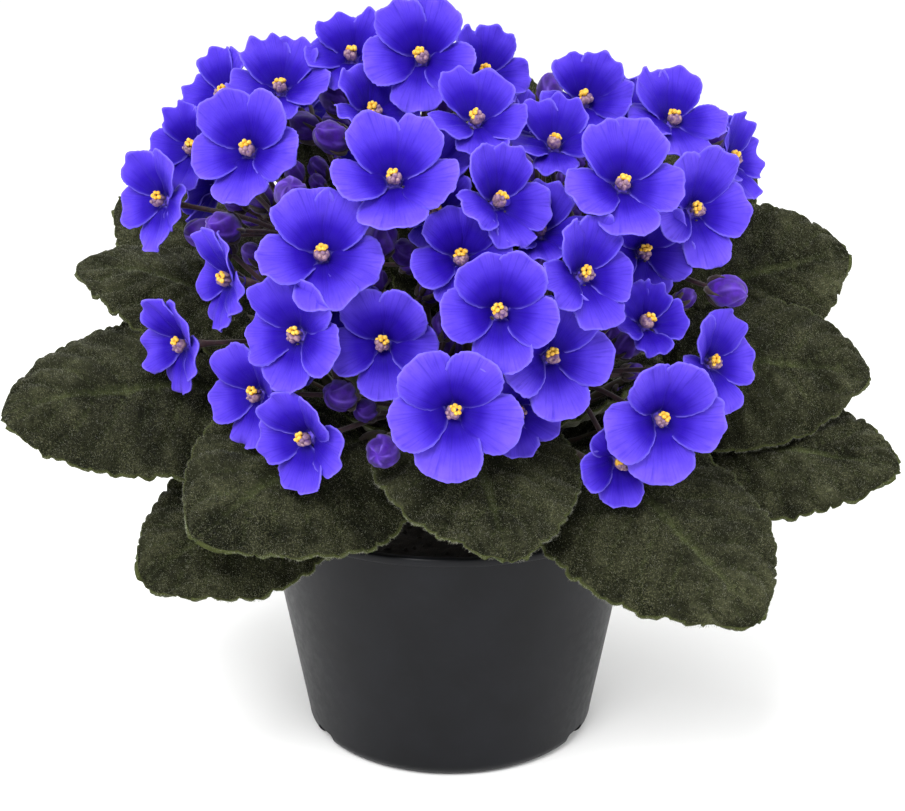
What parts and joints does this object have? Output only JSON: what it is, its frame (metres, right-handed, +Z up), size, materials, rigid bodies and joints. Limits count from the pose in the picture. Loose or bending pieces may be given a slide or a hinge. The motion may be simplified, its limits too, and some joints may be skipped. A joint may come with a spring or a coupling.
{
  "type": "potted african violet",
  "caption": "Flowering African violet with velvety leaves and violet-blue blooms, growing in a plain black nursery pot.",
  "frame": {"origin": "centre of the pot's flat underside", "axes": "+Z up along the pot's axis; -Y is the plant's fuller front, +X is to its right seen from the front"},
  "size_m": [0.2618, 0.2192, 0.2255],
  "materials": {
    "black_plastic": "satin moulded",
    "soil": "crumbly peat",
    "crown": "rough, fleshy",
    "leaf": "velvety, hairy",
    "stalk": "finely hairy",
    "petal": "soft, finely glistening"
  },
  "bodies": {
    "root": {"pot": "black_plastic", "soil": "soil", "crown": "crown", "leaf_front_left": "leaf", "leaf_front_left_low": "leaf", "leaf_front": "leaf", "leaf_front_right": "leaf", "leaf_right_low": "leaf", "leaf_right": "leaf", "leaf_right_high": "leaf", "leaf_back_right": "leaf", "leaf_back": "leaf", "leaf_left": "leaf", "leaf_left_high": "leaf", "leaf_back_left": "leaf", "leaf_back_left_low": "leaf", "leaf_back_low": "leaf", "leaf_back_right_low": "leaf", "flower_01": "petal", "flower_02": "petal", "flower_03": "petal", "flower_04": "petal", "flower_05": "petal", "flower_06": "petal", "flower_07": "petal", "flower_08": "petal", "flower_09": "petal", "flower_10": "petal", "flower_11": "petal", "flower_12": "petal", "flower_13": "petal", "flower_14": "petal", "flower_15": "petal", "flower_16": "petal", "flower_17": "petal", "flower_18": "petal", "flower_19": "petal", "flower_20": "petal", "flower_21": "petal", "flower_22": "petal", "flower_23": "petal", "flower_24": "petal", "flower_25": "petal", "flower_26": "petal", "flower_27": "petal", "flower_28": "petal", "flower_29": "petal", "flower_30": "petal", "flower_31": "petal", "flower_32": "petal", "flower_33": "petal", "stalk_left": "stalk", "stalk_top": "stalk", "stalk_centre": "stalk", "stalk_right_high": "stalk", "stalk_left_low": "stalk", "stalk_front": "stalk", "stalk_right_low": "stalk", "stalk_back_left": "stalk", "stalk_back_right": "stalk"}
  },
  "joints": []
}
